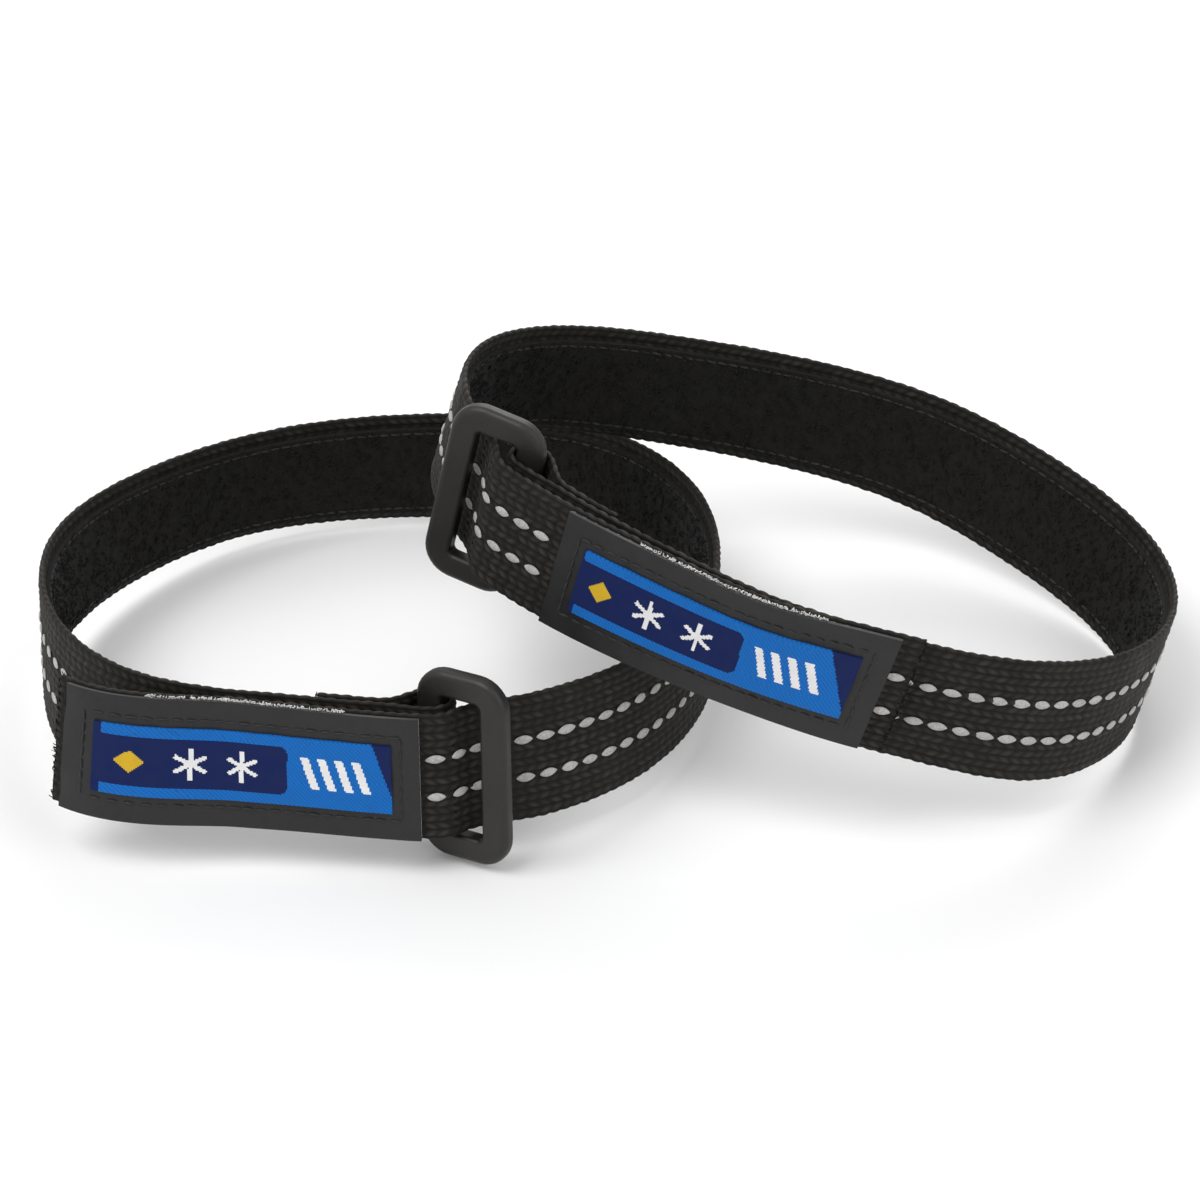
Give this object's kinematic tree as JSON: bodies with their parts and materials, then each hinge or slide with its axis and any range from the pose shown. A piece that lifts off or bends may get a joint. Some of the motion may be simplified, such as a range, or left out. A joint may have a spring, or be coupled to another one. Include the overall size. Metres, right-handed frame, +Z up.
{
  "type": "instep strap pair",
  "caption": "Webbing instep straps for slip-on ice cleats, each closed by a sewn-in rectangular buckle and a hook-and-loop tab with a label, one leaning on its mate.",
  "frame": {"origin": "on the surface the pair stands on, under the middle of its bounding box", "axes": "+X to the right along the pair, +Y to the back, +Z up; the tabs and buckles are at the front"},
  "size_m": [0.2176, 0.1248, 0.0704],
  "materials": {
    "webbing": "coarse plain-weave polyester webbing",
    "loop_pile": "brushed loop pile",
    "hook_tape": "woven tape with nylon hooks",
    "black_thread": "spun polyester sewing thread",
    "reflective_yarn": "grey retroreflective yarn",
    "buckle_plastic": "injection-moulded acetal, fine matt texture",
    "white_backing": "cut edge of a white woven backing",
    "patch_sheet": "smooth coated sheet",
    "woven_label": "woven label in blue, white and yellow"
  },
  "bodies": {
    "left_band": {"left_webbing": "webbing", "left_pile_tape": "loop_pile", "left_pile_stitching": "black_thread", "left_bar_tack": "black_thread", "left_hook_tape": "hook_tape", "left_hook_stitching": "black_thread", "left_upper_yarn": "reflective_yarn", "left_lower_yarn": "reflective_yarn"},
    "left_buckle_ring": {"left_buckle": "buckle_plastic"},
    "left_tab": {"left_tab_webbing": "webbing", "left_tab_pile_tape": "loop_pile", "left_tab_upper_yarn": "reflective_yarn", "left_tab_lower_yarn": "reflective_yarn", "left_patch_backing": "white_backing", "left_patch": "patch_sheet", "left_label": "woven_label", "left_label_stitching": "black_thread"},
    "right_band": {"right_webbing": "webbing", "right_pile_tape": "loop_pile", "right_pile_stitching": "black_thread", "right_bar_tack": "black_thread", "right_hook_tape": "hook_tape", "right_hook_stitching": "black_thread", "right_upper_yarn": "reflective_yarn", "right_lower_yarn": "reflective_yarn"},
    "right_buckle_ring": {"right_buckle": "buckle_plastic"},
    "right_tab": {"right_tab_webbing": "webbing", "right_tab_pile_tape": "loop_pile", "right_tab_upper_yarn": "reflective_yarn", "right_tab_lower_yarn": "reflective_yarn", "right_patch_backing": "white_backing", "right_patch": "patch_sheet", "right_label": "woven_label", "right_label_stitching": "black_thread"}
  },
  "joints": [
    {"name": "left_tab_peel", "type": "hinge", "parent": "left_band", "child": "left_tab", "pos_m": [-0.02537, -0.05559, 0.01861], "axis": [-0.0227, 0.122, 0.9923], "range_deg": [0, 45]},
    {"name": "left_buckle_swing", "type": "hinge", "parent": "left_band", "child": "left_buckle_ring", "pos_m": [-0.03172, -0.05203, 0.01832], "axis": [0.0075, -0.1194, -0.9928], "range_deg": [0, 20]},
    {"name": "right_tab_peel", "type": "hinge", "parent": "right_band", "child": "right_tab", "pos_m": [-0.02406, -0.01656, 0.05149], "axis": [-0.2118, 0.0309, -0.9768], "range_deg": [0, 30]},
    {"name": "right_buckle_swing", "type": "hinge", "parent": "right_band", "child": "right_buckle_ring", "pos_m": [-0.01693, -0.01858, 0.04986], "axis": [0.2162, -0.0416, 0.9755], "range_deg": [0, 20]},
    {"name": "right_strap_lift", "type": "slide", "parent": "left_band", "child": "right_band", "axis": [0, 0, 1], "range_m": [0, 0.05]}
  ]
}
